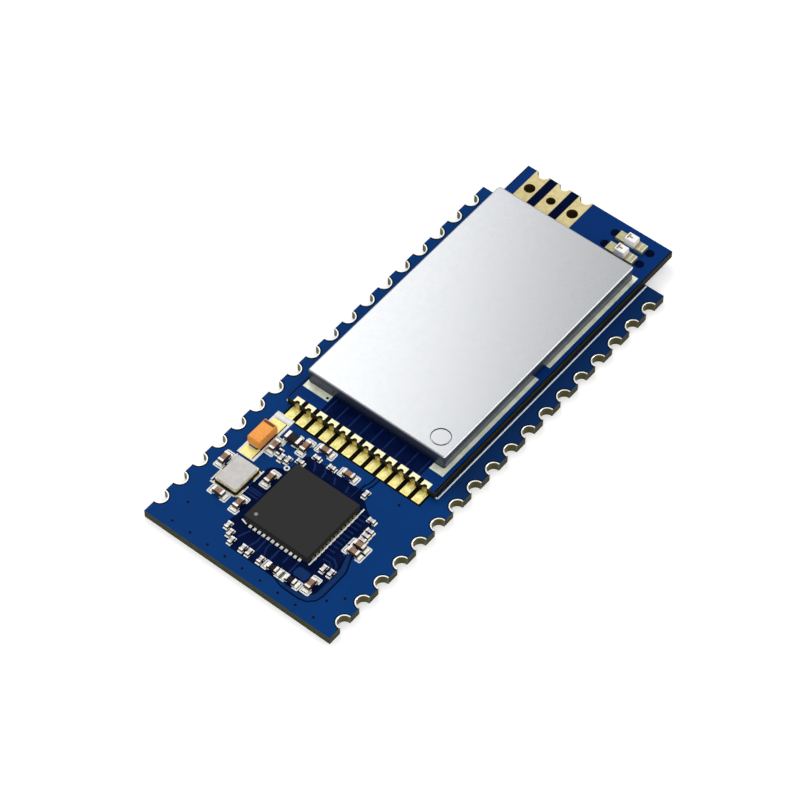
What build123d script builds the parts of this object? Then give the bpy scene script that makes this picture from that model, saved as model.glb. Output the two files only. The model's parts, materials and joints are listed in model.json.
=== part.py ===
from build123d import *
import os

# Ultra-wideband positioning module: a castellated carrier board with a microcontroller at its
# near end and a shielded radio board soldered over its far two thirds. Millimetres. The origin
# is the middle of the carrier's solder face, +X to its right, +Y to the antenna end, +Z up.

# Carrier board and its half holes
carrier_width = 20.7
carrier_length = 47.2
carrier_thickness = 0.9
carrier_hole_count = 18
carrier_hole_pitch = 2.54
carrier_hole_radius = 0.86
carrier_rim_width = 0.16

# Copper that is common to both boards
copper_height = 0.04
plating_wall = 0.05

# Radio board, soldered by a row of half holes along its near edge
radio_width = 16.5
radio_length = 34.7
radio_thickness = 0.8
radio_from_end = 16.6
radio_hole_count = 12
radio_hole_pitch = 1.3
radio_hole_radius = 0.26
radio_pad_width = 0.86
radio_pad_depth = 0.62
radio_land_reach = 1.3
fillet_height = 0.44
fillet_reach = 0.42
fillet_waist_height = 0.14
fillet_waist = 0.2
fillet_tip = 0.05

# Antenna pads at the radio board's far edge: ground, signal, ground
antenna_pitch = 2.46
antenna_signal_x = -3.98
antenna_pad_width = 1.55
antenna_pad_length = 4.3
antenna_hole_from_edge = 2.2
antenna_ground_radius = 0.55
antenna_signal_radius = 0.45
antenna_notch_extra = 0.05

# Shield can, folded from one sheet
shield_x = -0.32
shield_from_edge = 2.5
shield_width = 15.35
shield_length = 27.4
shield_height = 1.62
shield_sheet = 0.2
shield_bend = 0.15
shield_corner = 0.25
ring_radius = 0.96
ring_line = 0.14
ring_depth = 0.08
ring_from_side = 1.66
ring_from_front = 1.6

# Lands that the can is soldered to
shield_land_inside = 0.15
shield_land_right = 0.38
shield_land_left = 0.12
shield_land_front = 0.7
shield_land_back = 0.25
shield_west_pad = 2.85
shield_south_pad = 1.5
shield_side_gap = 1.6

# Indicator lamps on the radio board
lamp_count = 2
lamp_length = 3.0
lamp_width = 1.0
lamp_base_height = 0.22
lamp_lens_height = 0.62
lamp_lens_side = 0.92
lamp_lens_gap = 0.01
lamp_lens_draft = 3
lamp_pitch = 1.6
lamp_from_right = 3.42
lamp_from_edge = 1.62
lamp_terminal_length = 0.93
lamp_terminal_skin = 0.06

# Microcontroller, 48 terminals on four sides
chip_x = 0.59
chip_from_end = 8.1
chip_side = 7.0
chip_height = 0.86
chip_row = 12
chip_pitch = 0.5
chip_terminal_width = 0.25
chip_terminal_length = 0.4
chip_terminal_height = 0.2
chip_thermal_side = 5.4
chip_land_width = 0.3
chip_land_inside = 0.35
chip_land_outside = 0.3
chip_dot_radius = 0.2
chip_dot_depth = 0.04
chip_dot_inset = 0.72

# Crystal: ceramic tray, gold seal ring, flat lid
crystal_x = -6.42
crystal_from_end = 7.67
crystal_width = 2.55
crystal_length = 3.3
crystal_base_height = 0.34
crystal_corner = 0.16
crystal_wall = 0.35
crystal_floor = 0.15
crystal_ring_inset = 0.06
crystal_ring_width = 0.28
crystal_ring_height = 0.18
crystal_lid_inset = 0.14
crystal_lid_height = 0.1
crystal_lid_corner = 0.18
crystal_terminal_width = 0.85
crystal_terminal_length = 1.0
crystal_terminal_height = 0.05
crystal_land_reach = 0.06
quartz_width = 1.2
quartz_length = 1.9
quartz_thickness = 0.08

# Tantalum capacitor: moulded body on two folded straps
tantalum_x = -7.42
tantalum_from_end = 12.25
tantalum_width = 1.38
tantalum_length = 2.44
tantalum_height = 1.16
tantalum_draft = 3
tantalum_split = 0.35
tantalum_edge = 0.08
strap_width = 0.9
strap_thickness = 0.1
strap_foot = 0.6
strap_rise = 0.3
tantalum_land_length = 1.3
tantalum_land_width = 1.35
tantalum_land_span = 4.8

# Sizes of chip parts: length, width, height, cap length, reach of the land past the part's end
capacitor_size = (1.1, 0.54, 0.5, 0.22, 0.3)
small_size = (0.68, 0.38, 0.3, 0.17, 0.14)
resistor_size = (1.05, 0.54, 0.36, 0.24, 0.3)
small_resistor_size = (0.66, 0.36, 0.26, 0.16, 0.14)
bead_size = (1.5, 0.8, 0.62, 0.3, 0.16)
cap_skin = 0.03
land_under = 0.05
land_margin = 0.05

# Places of chip parts: X, distance from the near end, and the way the part lies
capacitor_places = [
    (-8.53, 8.42, "Y"), (-6.55, 5.40, "X"), (-4.42, 5.58, "Y"), (-4.05, 9.28, "Y"),
    (-5.98, 12.20, "Y"), (-3.83, 13.78, "Y"), (-2.19, 14.55, "X"), (1.03, 13.82, "X"),
    (6.48, 7.85, "X"), (6.48, 8.69, "X"), (5.75, 3.06, "Y"),
]
small_places = [
    (-4.72, 11.59, "Y"), (-4.12, 11.74, "Y"), (-3.15, 12.28, "X"), (-2.29, 13.51, "X"),
    (-0.61, 13.51, "X"), (3.45, 13.18, "Y"), (5.63, 11.33, "X"), (6.19, 10.38, "X"),
    (6.22, 9.83, "X"), (6.27, 9.30, "X"), (-3.67, 3.32, "Y"), (-3.02, 2.80, "Y"),
    (-2.42, 2.27, "Y"), (-1.14, 2.28, "Y"), (-0.44, 2.28, "Y"), (0.81, 2.30, "Y"),
    (5.56, 4.97, "Y"), (6.33, 4.99, "Y"),
]
resistor_places = [(2.18, 2.33, "X"), (4.16, 2.33, "X")]
small_resistor_places = [(-5.26, 11.95, "Y")]
bead_places = [(-5.09, 13.68, "X")]

# Parts under the can: centres from the can's middle, and sizes
transceiver_place = (-2.2, -4.6)
transceiver_side = 6.0
transceiver_height = 0.8
transceiver_row = 12
transceiver_pitch = 0.4
transceiver_thermal_side = 4.4
amplifier_place = (-3.6, 6.8)
amplifier_side = 3.0
amplifier_height = 0.75
amplifier_row = 4
amplifier_pitch = 0.5
amplifier_thermal_side = 1.6
lead_width = 0.2
lead_length = 0.4
lead_height = 0.05
oscillator_place = (3.9, -4.4)
oscillator_length = 2.5
oscillator_width = 2.0
oscillator_base_height = 0.5
oscillator_lid_height = 0.2
oscillator_lid_inset = 0.12
balun_place = (-3.6, 2.2)
balun_size = (2.0, 1.25, 0.7, 0.3)
inductor_place = (4.2, 3.4)
inductor_size = (2.5, 2.0, 1.0, 0.5)
inner_capacitor_places = [
    (-5.9, -8.6), (-4.3, -8.6), (-2.7, -8.6), (-1.1, -8.6), (3.2, -8.6), (4.8, -8.6),
    (2.4, -0.6), (4.4, -0.6), (2.4, 6.2), (4.4, 6.2), (-1.0, 4.9), (-1.0, 8.6),
]

# Places worked out from the sizes above
near_end = -carrier_length / 2
carrier_top = carrier_thickness
land_top = carrier_top + copper_height
radio_bottom = land_top
radio_top = radio_bottom + radio_thickness
radio_land_top = radio_top + copper_height
radio_near = near_end + radio_from_end
radio_far = radio_near + radio_length
radio_right = radio_width / 2
shield_near = radio_near + shield_from_edge
shield_far = shield_near + shield_length
shield_middle = (shield_near + shield_far) / 2
shield_left = shield_x - shield_width / 2
shield_right = shield_x + shield_width / 2
chip_y = near_end + chip_from_end


def plate(x_low, x_high, y_low, y_high, z_low, z_high):
    """A rectangular block between two corners."""
    block = Box(x_high - x_low, y_high - y_low, z_high - z_low)
    middle = ((x_low + x_high) / 2, (y_low + y_high) / 2, (z_low + z_high) / 2)
    return Pos(*middle) * block


def block_on(x, y, z, along_x, along_y, height):
    """A block centred on (x, y) that stands on height z."""
    return plate(x - along_x / 2, x + along_x / 2, y - along_y / 2, y + along_y / 2, z, z + height)


def drill(x, y, radius, z_low, z_high):
    """A round bar from z_low to z_high, for a hole or a plated wall."""
    return Pos(x, y, (z_low + z_high) / 2) * Cylinder(radius, z_high - z_low)


def spread(count, pitch):
    """Places of evenly spaced copies, centred on nought."""
    return [(index - (count - 1) / 2) * pitch for index in range(count)]


def save(name, shapes):
    """Write one node as a STEP file of separate solids."""
    solids = [solid for shape in shapes for solid in shape.solids()]
    export_step(Compound(children=solids), f"parts/{name}.step")


def carrier_holes():
    """Centres of the carrier's half holes on one long side."""
    return spread(carrier_hole_count, carrier_hole_pitch)


def carrier_board():
    """Glass-epoxy slab with half holes, and ring seats in its solder face."""
    board = block_on(0, 0, 0, carrier_width, carrier_length, carrier_thickness)
    drill_radius = carrier_hole_radius + plating_wall
    rim_radius = carrier_hole_radius + carrier_rim_width
    cuts = []
    for side in (-1, 1):
        edge = side * carrier_width / 2
        for y in carrier_holes():
            cuts.append(drill(edge, y, drill_radius, -1, carrier_thickness + 1))
            cuts.append(drill(edge, y, rim_radius, -1, copper_height))
    return board - cuts


def half_ring(edge_x, y, side):
    """Plated lining of one half hole, with a copper rim on both faces."""
    bore = carrier_hole_radius
    wall = bore + plating_wall
    rim = bore + carrier_rim_width
    top = carrier_thickness
    outline = Polyline(
        (bore, 0), (rim, 0), (rim, copper_height), (wall, copper_height),
        (wall, top), (rim, top), (rim, top + copper_height), (bore, top + copper_height),
        close=True,
    )
    section = make_face(Plane.XZ * outline)
    ring = revolve(section, Axis.Z, 180)
    turn = 90 if side > 0 else -90
    return Pos(edge_x, y, 0) * Rot(0, 0, turn) * ring


def carrier_half_holes(side):
    edge = side * carrier_width / 2
    return [half_ring(edge, y, side) for y in carrier_holes()]


def radio_holes():
    return spread(radio_hole_count, radio_hole_pitch)


def edge_pad(x, edge_y, inward, width, depth, bore_cuts):
    """Pad on both faces of the radio board's edge, joined by a plated half hole."""
    y_low, y_high = sorted((edge_y, edge_y + inward * depth))
    top = plate(x - width / 2, x + width / 2, y_low, y_high, radio_top, radio_land_top)
    bottom = plate(
        x - width / 2, x + width / 2, y_low, y_high, radio_bottom, radio_bottom + copper_height
    )
    pad = top + bottom
    for y, bore in bore_cuts:
        lining = drill(x, y, bore + plating_wall, radio_bottom, radio_top)
        pad += lining & plate(x - width, x + width, y_low, y_high, radio_bottom, radio_top)
    for y, bore in bore_cuts:
        pad -= drill(x, y, bore, radio_bottom - 1, radio_land_top + 1)
    return pad


def radio_half_holes():
    bores = [(radio_near, radio_hole_radius)]
    return [
        edge_pad(x, radio_near, 1, radio_pad_width, radio_pad_depth, bores)
        for x in radio_holes()
    ]


def antenna_holes():
    """X and hole radius of the ground, signal and ground pads."""
    radii = (antenna_ground_radius, antenna_signal_radius, antenna_ground_radius)
    return [(antenna_signal_x + x, radius) for x, radius in zip(spread(3, antenna_pitch), radii)]


def antenna_pads():
    pads = []
    for x, radius in antenna_holes():
        hole_y = radio_far - antenna_hole_from_edge
        bores = [(hole_y, radius), (radio_far, radius + antenna_notch_extra)]
        pads.append(edge_pad(x, radio_far, -1, antenna_pad_width, antenna_pad_length, bores))
    return pads


def radio_board(plated):
    """Slab that the plated pads are let into."""
    board = plate(-radio_right, radio_right, radio_near, radio_far, radio_bottom, radio_top)
    for x in radio_holes():
        board -= drill(x, radio_near, radio_hole_radius, radio_bottom - 1, radio_top + 1)
    for x, radius in antenna_holes():
        board -= drill(x, radio_far, radius + antenna_notch_extra, radio_bottom - 1, radio_top + 1)
        hole_y = radio_far - antenna_hole_from_edge
        board -= drill(x, hole_y, radius, radio_bottom - 1, radio_top + 1)
    return board - plated


def radio_lands():
    """Carrier lands under the radio board's near edge, reaching out past it."""
    half = radio_pad_width / 2
    low = radio_near - radio_land_reach
    high = radio_near + radio_pad_depth
    return [plate(x - half, x + half, low, high, carrier_top, land_top) for x in radio_holes()]


def solder_fillets():
    """Solder that fills the foot of each half hole and runs out over its land."""
    outline = Polyline(
        (0, 0), (fillet_reach, 0), (fillet_waist, fillet_waist_height),
        (fillet_tip, fillet_height), (0, fillet_height), close=True,
    )
    skirt = Rot(0, 0, 180) * revolve(make_face(Plane.XZ * outline), Axis.Z, 180)
    core = drill(0, 0, radio_hole_radius, 0, fillet_height)
    core &= plate(-1, 1, 0, 1, 0, fillet_height)
    joint = skirt + core
    return [Pos(x, radio_near, land_top) * joint for x in radio_holes()]


def row_of_four(row, pitch, place):
    """Centres and directions of the places along the four sides of a square package."""
    spots = []
    for offset in spread(row, pitch):
        spots += [
            (offset, -place, True), (offset, place, True),
            (-place, offset, False), (place, offset, False),
        ]
    return spots


def square_row(x, y, z, side, row, pitch, width, inside, outside, height):
    """Terminals or lands along four sides, from inside to outside of the body's edge."""
    length = inside + outside
    place = side / 2 + (outside - inside) / 2
    blocks = []
    for dx, dy, upright in row_of_four(row, pitch, place):
        along_x, along_y = (width, length) if upright else (length, width)
        blocks.append(block_on(x + dx, y + dy, z, along_x, along_y, height))
    return blocks


def microcontroller():
    """Body, terminals and thermal pad of the square leadless package."""
    terminals = square_row(
        chip_x, chip_y, land_top, chip_side, chip_row, chip_pitch,
        chip_terminal_width, chip_terminal_length, 0, chip_terminal_height,
    )
    thermal = block_on(
        chip_x, chip_y, land_top, chip_thermal_side, chip_thermal_side, chip_terminal_height
    )
    body = block_on(chip_x, chip_y, land_top, chip_side, chip_side, chip_height)
    dot_x = chip_x - chip_side / 2 + chip_dot_inset
    dot_y = chip_y - chip_side / 2 + chip_dot_inset
    top = land_top + chip_height
    body -= drill(dot_x, dot_y, chip_dot_radius, top - chip_dot_depth, top + 1)
    body -= terminals + [thermal]
    return body, terminals, thermal


def microcontroller_lands():
    lands = square_row(
        chip_x, chip_y, carrier_top, chip_side, chip_row, chip_pitch,
        chip_land_width, chip_land_inside, chip_land_outside, copper_height,
    )
    thermal = block_on(
        chip_x, chip_y, carrier_top, chip_thermal_side, chip_thermal_side, copper_height
    )
    return lands + [thermal]


def crystal():
    """Ceramic tray with a cavity, seal ring, lid, quartz blank and four terminals."""
    y = near_end + crystal_from_end
    half_x = crystal_width / 2
    half_y = crystal_length / 2
    terminals = []
    lands = []
    for side_x in (-1, 1):
        for side_y in (-1, 1):
            spot_x = crystal_x + side_x * (half_x - crystal_terminal_width / 2)
            spot_y = y + side_y * (half_y - crystal_terminal_length / 2)
            size = (crystal_terminal_width, crystal_terminal_length)
            terminals.append(block_on(spot_x, spot_y, land_top, *size, crystal_terminal_height))
            spot_x += side_x * crystal_land_reach
            spot_y += side_y * crystal_land_reach
            lands.append(block_on(spot_x, spot_y, carrier_top, *size, copper_height))
    foot = land_top + crystal_terminal_height
    base = block_on(crystal_x, y, foot, crystal_width, crystal_length, crystal_base_height)
    for side_x in (-1, 1):
        for side_y in (-1, 1):
            corner = drill(
                crystal_x + side_x * half_x, y + side_y * half_y, crystal_corner, foot - 1,
                foot + crystal_base_height + 1,
            )
            base -= corner
    room_x = crystal_width - 2 * crystal_wall
    room_y = crystal_length - 2 * crystal_wall
    room_top = foot + crystal_base_height
    base -= block_on(crystal_x, y, foot + crystal_floor, room_x, room_y, crystal_base_height)
    ring_x = crystal_width - 2 * crystal_ring_inset
    ring_y = crystal_length - 2 * crystal_ring_inset
    ring = block_on(crystal_x, y, room_top, ring_x, ring_y, crystal_ring_height)
    ring = fillet(ring.edges().filter_by(Axis.Z), crystal_lid_corner)
    ring -= block_on(
        crystal_x, y, room_top - 1, ring_x - 2 * crystal_ring_width,
        ring_y - 2 * crystal_ring_width, 3,
    )
    lid_x = crystal_width - 2 * crystal_lid_inset
    lid_y = crystal_length - 2 * crystal_lid_inset
    lid = block_on(crystal_x, y, room_top + crystal_ring_height, lid_x, lid_y, crystal_lid_height)
    lid = fillet(lid.edges().filter_by(Axis.Z), crystal_lid_corner)
    blank = block_on(
        crystal_x, y, foot + crystal_floor, quartz_width, quartz_length, quartz_thickness
    )
    return base, ring, lid, blank, terminals, lands


def tantalum():
    """Moulded body with draft both ways from its parting line, on two folded straps."""
    y = near_end + tantalum_from_end
    foot = land_top + strap_thickness
    split = foot + tantalum_split * tantalum_height
    outline = Pos(tantalum_x, y, split) * Rectangle(tantalum_width, tantalum_length)
    rise = tantalum_height * (1 - tantalum_split) - strap_thickness
    upper = extrude(outline, rise, taper=tantalum_draft)
    lower = extrude(outline, foot - split, dir=(0, 0, 1), taper=tantalum_draft)
    body = upper + lower
    body = chamfer(body.faces().sort_by(Axis.Z)[-1].edges(), tantalum_edge)
    straps = []
    lands = []
    for end in (-1, 1):
        face_y = y + end * tantalum_length / 2
        out_y = face_y + end * strap_thickness
        in_y = face_y - end * strap_foot
        wall = plate(
            tantalum_x - strap_width / 2, tantalum_x + strap_width / 2,
            min(face_y, out_y), max(face_y, out_y), land_top, land_top + strap_rise,
        )
        sole = plate(
            tantalum_x - strap_width / 2, tantalum_x + strap_width / 2,
            min(in_y, out_y), max(in_y, out_y), land_top, foot,
        )
        straps.append(wall + sole)
        land_y = y + end * (tantalum_land_span - tantalum_land_length) / 2
        lands.append(block_on(
            tantalum_x, land_y, carrier_top, tantalum_land_width, tantalum_land_length,
            copper_height,
        ))
    return body, straps, lands


def chip_part(x, y, z, size, lies):
    """Ceramic body and two wrapped end caps of a chip part that stands on z."""
    length, width, height, cap_length = size[:4]
    along_x, along_y = (length, width) if lies == "X" else (width, length)
    trim = 2 * cap_skin
    body = block_on(x, y, z + cap_skin, along_x - trim, along_y - trim, height - trim)
    caps = []
    for end in (-1, 1):
        shift = end * (length - cap_length) / 2
        if lies == "X":
            cap = block_on(x + shift, y, z, cap_length, width, height)
        else:
            cap = block_on(x, y + shift, z, width, cap_length, height)
        caps.append(cap - body)
    return body, caps


def chip_lands(x, y, z, size, lies):
    """Two lands that reach out past the ends of a chip part."""
    length, width, _, cap_length, reach = size
    lands = []
    for end in (-1, 1):
        inner = end * (length / 2 - cap_length - land_under)
        outer = end * (length / 2 + reach)
        low, high = sorted((inner, outer))
        half = width / 2 + land_margin
        if lies == "X":
            lands.append(plate(x + low, x + high, y - half, y + half, z, z + copper_height))
        else:
            lands.append(plate(x - half, x + half, y + low, y + high, z, z + copper_height))
    return lands


def carrier_chips(places, size):
    """Bodies, caps and lands of one kind of chip part on the carrier."""
    bodies = []
    caps = []
    lands = []
    for x, from_end, lies in places:
        y = near_end + from_end
        body, ends = chip_part(x, y, land_top, size, lies)
        bodies.append(body)
        caps += ends
        lands += chip_lands(x, y, carrier_top, size, lies)
    return bodies, caps, lands


def shield_can():
    """Folded sheet cover with bent edges and a pressed ring near its near right corner."""
    foot = radio_land_top
    outer = plate(shield_left, shield_right, shield_near, shield_far, foot, foot + shield_height)
    outer = fillet(outer.edges().filter_by(Axis.Z), shield_corner)
    outer = fillet(outer.faces().sort_by(Axis.Z)[-1].edges(), shield_bend)
    top = foot + shield_height
    room = plate(
        shield_left + shield_sheet, shield_right - shield_sheet, shield_near + shield_sheet,
        shield_far - shield_sheet, foot, top - shield_sheet,
    )
    can = outer - room
    ring_x = shield_right - ring_from_side
    ring_y = shield_near + ring_from_front
    groove = drill(ring_x, ring_y, ring_radius, top - ring_depth, top + 1)
    groove -= drill(ring_x, ring_y, ring_radius - ring_line, top - 1, top + 2)
    return can - groove


def shield_lands():
    """Strips of tinned copper under the can's wall and just outside it."""
    z = (radio_top, radio_land_top)
    right = (shield_right - shield_sheet - shield_land_inside, shield_right + shield_land_right)
    left = (shield_left - shield_land_left, shield_left + shield_sheet + shield_land_inside)
    front = (shield_near - shield_land_front, shield_near + shield_sheet + shield_land_inside)
    back = (shield_far - shield_sheet - shield_land_inside, shield_far + shield_land_back)
    half_gap = shield_side_gap / 2
    middle = shield_middle
    south = plate(right[1] - shield_south_pad, right[1], *front, *z)
    lands = [
        plate(*right, front[0], middle - half_gap, *z) + south,
        plate(*right, middle + half_gap, back[1], *z),
        plate(*left, front[1] + half_gap, middle - half_gap, *z),
        plate(*left, middle + half_gap, back[0] - half_gap, *z),
        plate(shield_left, shield_left + shield_west_pad, *front, *z),
        plate(shield_left + shield_west_pad, right[0] - half_gap, *back, *z),
    ]
    return lands


def indicator_lamps():
    """Two lamps at the far right corner: white base, wrapped terminals, tapered lens."""
    bases = []
    terminals = []
    lenses = []
    lens_length = lamp_length - 2 * (lamp_terminal_length + lamp_lens_gap)
    outline = Rectangle(lens_length, lamp_lens_side)
    lens = extrude(outline, lamp_lens_height, taper=lamp_lens_draft)
    skin = lamp_terminal_skin
    x = radio_right - lamp_from_right
    for index in range(lamp_count):
        y = radio_far - lamp_from_edge - index * lamp_pitch
        base = block_on(
            x, y, radio_top + skin, lamp_length - 2 * skin, lamp_width - 2 * skin,
            lamp_base_height,
        )
        bases.append(base)
        for end in (-1, 1):
            cap_x = x + end * (lamp_length - lamp_terminal_length) / 2
            cap = block_on(
                cap_x, y, radio_top, lamp_terminal_length, lamp_width,
                lamp_base_height + 2 * skin,
            )
            terminals.append(cap - base)
        lenses.append(Pos(x, y, radio_top + skin + lamp_base_height) * lens)
    return bases, terminals, lenses


def leadless_chip(place, side, height, row, pitch, thermal_side):
    """Square leadless package under the can: body on low terminals and a thermal pad."""
    x = shield_x + place[0]
    y = shield_middle + place[1]
    foot = radio_top + lead_height
    body = block_on(x, y, foot, side, side, height)
    leads = square_row(
        x, y, radio_top, side, row, pitch, lead_width, lead_length, 0, lead_height
    )
    thermal = block_on(x, y, radio_top, thermal_side, thermal_side, lead_height)
    return body, leads, thermal


def inner_chip(place, size, lies):
    return chip_part(shield_x + place[0], shield_middle + place[1], radio_top, size, lies)


def oscillator():
    x = shield_x + oscillator_place[0]
    y = shield_middle + oscillator_place[1]
    base = block_on(x, y, radio_top, oscillator_width, oscillator_length, oscillator_base_height)
    lid = block_on(
        x, y, radio_top + oscillator_base_height,
        oscillator_width - 2 * oscillator_lid_inset,
        oscillator_length - 2 * oscillator_lid_inset, oscillator_lid_height,
    )
    return base, lid


os.makedirs("parts", exist_ok=True)

save("carrier_board", [carrier_board()])
save("carrier_half_holes_left", carrier_half_holes(-1))
save("carrier_half_holes_right", carrier_half_holes(1))

radio_plating = radio_half_holes()
antenna_plating = antenna_pads()
save("radio_board", [radio_board(radio_plating + antenna_plating)])
save("radio_half_holes", radio_plating)
save("antenna_pads", antenna_plating)
save("radio_lands", radio_lands())
save("solder_fillets", solder_fillets())

chip_body, chip_terminals, chip_thermal = microcontroller()
save("microcontroller_body", [chip_body])
save("microcontroller_terminals", chip_terminals)
save("microcontroller_thermal_pad", [chip_thermal])
save("microcontroller_lands", microcontroller_lands())

crystal_base, crystal_ring, crystal_lid, quartz, crystal_feet, crystal_land = crystal()
save("crystal_base", [crystal_base])
save("crystal_seal_ring", [crystal_ring])
save("crystal_lid", [crystal_lid])
save("quartz_blank", [quartz])
save("crystal_terminals", crystal_feet)
save("crystal_lands", crystal_land)

tantalum_body, tantalum_straps, tantalum_land = tantalum()
save("tantalum_body", [tantalum_body])
save("tantalum_straps", tantalum_straps)
save("tantalum_lands", tantalum_land)

chip_land_shapes = []
for name, groups in (
    ("capacitor", [(capacitor_places, capacitor_size)]),
    ("small_capacitor", [(small_places, small_size)]),
    ("resistor", [(resistor_places, resistor_size), (small_resistor_places, small_resistor_size)]),
    ("ferrite_bead", [(bead_places, bead_size)]),
):
    all_bodies = []
    all_caps = []
    for places, size in groups:
        bodies, caps, lands = carrier_chips(places, size)
        all_bodies += bodies
        all_caps += caps
        chip_land_shapes += lands
    save(f"{name}_bodies", all_bodies)
    save(f"{name}_end_caps", all_caps)
save("chip_lands", chip_land_shapes)

save("shield_can", [shield_can()])
save("shield_lands", shield_lands())

lamp_bases, lamp_terminals, lamp_lenses = indicator_lamps()
save("lamp_bases", lamp_bases)
save("lamp_terminals", lamp_terminals)
save("lamp_lenses", lamp_lenses)

radio_body, radio_leads, radio_thermal = leadless_chip(
    transceiver_place, transceiver_side, transceiver_height, transceiver_row,
    transceiver_pitch, transceiver_thermal_side,
)
save("transceiver_body", [radio_body])
save("transceiver_terminals", radio_leads)
save("transceiver_thermal_pad", [radio_thermal])

amplifier_body, amplifier_leads, amplifier_thermal = leadless_chip(
    amplifier_place, amplifier_side, amplifier_height, amplifier_row,
    amplifier_pitch, amplifier_thermal_side,
)
save("amplifier_body", [amplifier_body])
save("amplifier_terminals", amplifier_leads + [amplifier_thermal])

oscillator_base, oscillator_lid = oscillator()
save("oscillator_base", [oscillator_base])
save("oscillator_lid", [oscillator_lid])

for name, place, size in (
    ("balun", balun_place, balun_size),
    ("power_inductor", inductor_place, inductor_size),
):
    body, caps = inner_chip(place, size, "Y")
    save(f"{name}_body", [body])
    save(f"{name}_terminals", caps)

inner_bodies = []
inner_caps = []
for place in inner_capacitor_places:
    body, caps = inner_chip(place, capacitor_size, "Y")
    inner_bodies.append(body)
    inner_caps += caps
save("inner_capacitor_bodies", inner_bodies)
save("inner_capacitor_end_caps", inner_caps)
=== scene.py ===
import bpy
import bmesh
import json
import math
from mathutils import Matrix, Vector


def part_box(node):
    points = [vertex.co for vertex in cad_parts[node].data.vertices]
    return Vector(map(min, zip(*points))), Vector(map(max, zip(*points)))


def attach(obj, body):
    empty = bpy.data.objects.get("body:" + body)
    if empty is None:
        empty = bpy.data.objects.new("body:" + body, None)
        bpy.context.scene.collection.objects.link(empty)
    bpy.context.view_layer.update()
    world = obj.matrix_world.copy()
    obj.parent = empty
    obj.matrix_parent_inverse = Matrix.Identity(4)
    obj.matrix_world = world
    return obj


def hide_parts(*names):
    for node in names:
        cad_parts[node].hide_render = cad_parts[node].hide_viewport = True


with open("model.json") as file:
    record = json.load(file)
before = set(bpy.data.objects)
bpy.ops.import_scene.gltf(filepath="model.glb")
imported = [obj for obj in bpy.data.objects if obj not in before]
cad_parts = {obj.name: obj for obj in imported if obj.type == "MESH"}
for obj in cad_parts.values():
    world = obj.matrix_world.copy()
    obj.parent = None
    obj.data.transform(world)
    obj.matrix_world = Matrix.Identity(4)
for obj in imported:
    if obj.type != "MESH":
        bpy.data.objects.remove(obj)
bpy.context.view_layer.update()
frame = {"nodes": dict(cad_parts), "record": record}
nodes = frame["nodes"]
mm = 0.001
print("frame loaded with", len(nodes), "nodes")


# Small helpers: colour, one node, one material, one mesh, one finished piece
def linearColour(code):
    parts = [int(code[i:i + 2], 16) / 255 for i in (1, 3, 5)]
    return [p / 12.92 if p < 0.04045 else ((p + 0.055) / 1.055) ** 2.4 for p in parts] + [1.0]


def addNode(tree, kind, settings=None, links=None):
    node = tree.nodes.new(kind)
    for key, value in (settings or {}).items():
        if isinstance(key, str) and hasattr(node, key):
            setattr(node, key, value)
        else:
            node.inputs[key].default_value = value
    for key, source in (links or {}).items():
        # a node stands for its first output
        tree.links.new(getattr(source, "outputs", [source])[0], node.inputs[key])
    return node


def spread(tree, value, low, high, toLow=0.0, toHigh=1.0):
    # The range of a value from low to high, carried over to the range from toLow to toHigh
    return addNode(tree, "ShaderNodeMapRange", {
        "From Min": low, "From Max": high, "To Min": toLow, "To Max": toHigh,
    }, {"Value": value})


def mixColours(tree, share, first, second):
    # Each of the two is a fixed colour or another node's output
    mix = addNode(tree, "ShaderNodeMix", {"data_type": "RGBA"}, {0: share})
    for key, source in ((6, first), (7, second)):
        if isinstance(source, list):
            mix.inputs[key].default_value = source
        else:
            tree.links.new(source, mix.inputs[key])
    return mix.outputs[2]


def newMaterial(name, values):
    material = bpy.data.materials.new(name)
    material.use_nodes = True
    tree = material.node_tree
    shader = tree.nodes["Principled BSDF"]
    for key, value in values.items():
        shader.inputs[key].default_value = value
    return material, tree, shader


def meshObject(name, points, edges=(), faces=()):
    mesh = bpy.data.meshes.new(name)
    mesh.from_pydata([Vector(p) * mm for p in points], edges, faces)
    mesh.update()
    piece = bpy.data.objects.new(name, mesh)
    bpy.context.scene.collection.objects.link(piece)
    return piece


def finishPiece(piece):
    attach(piece, "root")
    return piece


# Camera: the photograph's own viewpoint, worked out from the board's half holes
photoView = {
    "eye": (105.05, -131.28, 223.51),
    "target": (-0.753, -0.556, 0.9),
    "lens": 142.56,
    "sensor": 36.0,
}

cameraData = bpy.data.cameras.new("camera")
cameraData.lens = photoView["lens"]
cameraData.sensor_width = photoView["sensor"]
cameraData.clip_start = 0.01
cameraData.clip_end = 10
camera = bpy.data.objects.new("camera", cameraData)
camera.location = Vector(photoView["eye"]) * mm
looking = Vector(photoView["target"]) - Vector(photoView["eye"])
camera.rotation_euler = looking.to_track_quat("-Z", "Y").to_euler()
bpy.context.scene.collection.objects.link(camera)
bpy.context.scene.camera = camera
bpy.context.scene.view_settings.view_transform = "Standard"
print("camera placed")


# Studio: a white floor that keeps a faint shadow, soft boxes, and an even sky. The edge light
# is small and far to the right, and only the gloss of a bent metal edge picks it up.
studio = {
    "floorSide": 3000,
    "floorDrop": 0.02,
    "floorGlow": 0.34,
    "skyStrength": 0.66,
    # its far right edge lies where the middle of the can's top mirrors the camera's line of sight
    "softBox": {"place": (-206, 120, 250), "turn": 28, "side": 200, "watts": 0.35},
    "fill": {"place": (160, -120, 240), "aim": (0, 0, 0), "side": 260, "watts": 0.2},
    "edge": {"place": (173, 140, 201), "aim": (0, 0, 0), "side": 24, "watts": 0.4},
}


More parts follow.
